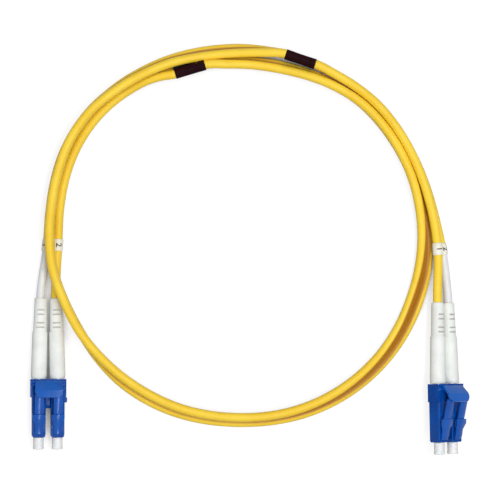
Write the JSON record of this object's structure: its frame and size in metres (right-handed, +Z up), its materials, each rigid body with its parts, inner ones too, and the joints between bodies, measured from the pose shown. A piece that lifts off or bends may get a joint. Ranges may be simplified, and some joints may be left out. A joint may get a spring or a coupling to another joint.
{
  "type": "fiber optic patch cord",
  "caption": "Coiled yellow duplex fiber patch cord with a latching blue duplex plug, white boots and white dust caps at each end.",
  "frame": {"origin": "the point on the table midway between the two plugs", "axes": "+Z up from the table, +X from the left plug to the right plug, +Y from the plugs to the coil"},
  "size_m": [0.1461, 0.1366, 0.014],
  "materials": {
    "blue_body": "moulded, semi-gloss",
    "blue_latch": "moulded, semi-gloss",
    "blue_clip": "moulded, semi-gloss",
    "blue_trigger": "moulded, semi-gloss",
    "white_ceramic": "polished zirconia",
    "bright_steel": "turned",
    "spring_steel": "drawn wire",
    "fiber_buffer": "smooth",
    "plated_metal": "turned and plated",
    "crimp_metal": "drawn tube",
    "white_boot": "satin moulded",
    "white_cap": "soft, slightly clear",
    "yellow_jacket": "extruded, satin",
    "white_tube": "extruded, satin",
    "black_shrink": "shrunk, satin",
    "white_label": "printed sleeve"
  },
  "bodies": {
    "cord": {"housing_a1": "blue_body", "ferrule_spring_a1": "spring_steel", "rear_insert_a1": "plated_metal", "crimp_sleeve_a1": "crimp_metal", "boot_a1": "white_boot", "leg_a1": "yellow_jacket", "label_a1": "white_label", "housing_a2": "blue_body", "ferrule_spring_a2": "spring_steel", "rear_insert_a2": "plated_metal", "crimp_sleeve_a2": "crimp_metal", "boot_a2": "white_boot", "leg_a2": "yellow_jacket", "label_a2": "white_label", "housing_b1": "blue_body", "ferrule_spring_b1": "spring_steel", "rear_insert_b1": "plated_metal", "crimp_sleeve_b1": "crimp_metal", "boot_b1": "white_boot", "leg_b1": "yellow_jacket", "label_b1": "white_label", "housing_b2": "blue_body", "ferrule_spring_b2": "spring_steel", "rear_insert_b2": "plated_metal", "crimp_sleeve_b2": "crimp_metal", "boot_b2": "white_boot", "leg_b2": "yellow_jacket", "label_b2": "white_label", "duplex_clip_a": "blue_clip", "duplex_clip_b": "blue_clip", "zip_cord": "yellow_jacket", "white_tube_a1": "white_tube", "white_tube_b2": "white_tube", "shrink_sleeve_a": "black_shrink", "shrink_sleeve_b": "black_shrink"},
    "trigger_a": {"trigger_a": "blue_trigger"},
    "trigger_b": {"trigger_b": "blue_trigger"},
    "latch_a1": {"latch_a1": "blue_latch"},
    "ferrule_a1": {"ferrule_a1": "white_ceramic", "ferrule_holder_a1": "bright_steel", "buffered_fiber_a1": "fiber_buffer"},
    "dust_cap_a1": {"dust_cap_a1": "white_cap"},
    "latch_a2": {"latch_a2": "blue_latch"},
    "ferrule_a2": {"ferrule_a2": "white_ceramic", "ferrule_holder_a2": "bright_steel", "buffered_fiber_a2": "fiber_buffer"},
    "dust_cap_a2": {"dust_cap_a2": "white_cap"},
    "latch_b1": {"latch_b1": "blue_latch"},
    "ferrule_b1": {"ferrule_b1": "white_ceramic", "ferrule_holder_b1": "bright_steel", "buffered_fiber_b1": "fiber_buffer"},
    "dust_cap_b1": {"dust_cap_b1": "white_cap"},
    "latch_b2": {"latch_b2": "blue_latch"},
    "ferrule_b2": {"ferrule_b2": "white_ceramic", "ferrule_holder_b2": "bright_steel", "buffered_fiber_b2": "fiber_buffer"},
    "dust_cap_b2": {"dust_cap_b2": "white_cap"}
  },
  "joints": [
    {"name": "trigger_a_hinge", "type": "hinge", "parent": "cord", "child": "trigger_a", "pos_m": [-0.06653, -0.00177, 0.00697], "axis": [0.9903, -0.0056, -0.1391], "range_deg": [0, 15], "stiffness_Nm_per_rad": 0.00004, "springref_deg": -5.73},
    {"name": "trigger_b_hinge", "type": "hinge", "parent": "cord", "child": "trigger_b", "pos_m": [0.06706, -0.00321, 0.00809], "axis": [0.7553, -0.0269, -0.6548], "range_deg": [0, 15], "stiffness_Nm_per_rad": 0.00004, "springref_deg": -5.73},
    {"name": "latch_a1_hinge", "type": "hinge", "parent": "cord", "child": "latch_a1", "pos_m": [-0.06978, -0.01898, 0.007], "axis": [0.9903, -0.0056, -0.1391], "range_deg": [-6.2, 0], "stiffness_Nm_per_rad": 0.00004, "springref_deg": 5.73},
    {"name": "latch_a2_hinge", "type": "hinge", "parent": "cord", "child": "latch_a2", "pos_m": [-0.06359, -0.01901, 0.00614], "axis": [0.9903, -0.0056, -0.1391], "range_deg": [-6.2, 0], "stiffness_Nm_per_rad": 0.00004, "springref_deg": 5.73},
    {"name": "latch_b1_hinge", "type": "hinge", "parent": "cord", "child": "latch_b1", "pos_m": [0.06428, -0.02035, 0.01036], "axis": [0.7553, -0.0269, -0.6548], "range_deg": [-6.2, 0], "stiffness_Nm_per_rad": 0.00004, "springref_deg": 5.73},
    {"name": "latch_b2_hinge", "type": "hinge", "parent": "cord", "child": "latch_b2", "pos_m": [0.069, -0.02052, 0.00627], "axis": [0.7553, -0.0269, -0.6548], "range_deg": [-6.2, 0], "stiffness_Nm_per_rad": 0.00004, "springref_deg": 5.73},
    {"name": "ferrule_a1_slide", "type": "slide", "parent": "cord", "child": "ferrule_a1", "axis": [0, 0.9992, -0.0401], "range_m": [0, 0.0008], "stiffness_N_per_m": 0.3, "springref_m": -0.008, "deforming": ["ferrule_spring_a1"]},
    {"name": "ferrule_a2_slide", "type": "slide", "parent": "cord", "child": "ferrule_a2", "axis": [0, 0.9992, -0.0401], "range_m": [0, 0.0008], "stiffness_N_per_m": 0.3, "springref_m": -0.008, "deforming": ["ferrule_spring_a2"]},
    {"name": "ferrule_b1_slide", "type": "slide", "parent": "cord", "child": "ferrule_b1", "axis": [-0.0174, 0.998, -0.061], "range_m": [0, 0.0008], "stiffness_N_per_m": 0.3, "springref_m": -0.008, "deforming": ["ferrule_spring_b1"]},
    {"name": "ferrule_b2_slide", "type": "slide", "parent": "cord", "child": "ferrule_b2", "axis": [-0.0174, 0.998, -0.061], "range_m": [0, 0.0008], "stiffness_N_per_m": 0.3, "springref_m": -0.008, "deforming": ["ferrule_spring_b2"]},
    {"name": "dust_cap_a1_slide", "type": "slide", "parent": "cord", "child": "dust_cap_a1", "axis": [0, -0.9992, 0.0401], "range_m": [0, 0.012]},
    {"name": "dust_cap_a2_slide", "type": "slide", "parent": "cord", "child": "dust_cap_a2", "axis": [0, -0.9992, 0.0401], "range_m": [0, 0.012]},
    {"name": "dust_cap_b1_slide", "type": "slide", "parent": "cord", "child": "dust_cap_b1", "axis": [0.0174, -0.998, 0.061], "range_m": [0, 0.012]},
    {"name": "dust_cap_b2_slide", "type": "slide", "parent": "cord", "child": "dust_cap_b2", "axis": [0.0174, -0.998, 0.061], "range_m": [0, 0.012]}
  ],
  "couplings": [
    {"joint": "latch_a1_hinge", "follows": "trigger_a_hinge", "ratio": -0.4},
    {"joint": "latch_a2_hinge", "follows": "trigger_a_hinge", "ratio": -0.4},
    {"joint": "latch_b1_hinge", "follows": "trigger_b_hinge", "ratio": -0.4},
    {"joint": "latch_b2_hinge", "follows": "trigger_b_hinge", "ratio": -0.4}
  ]
}
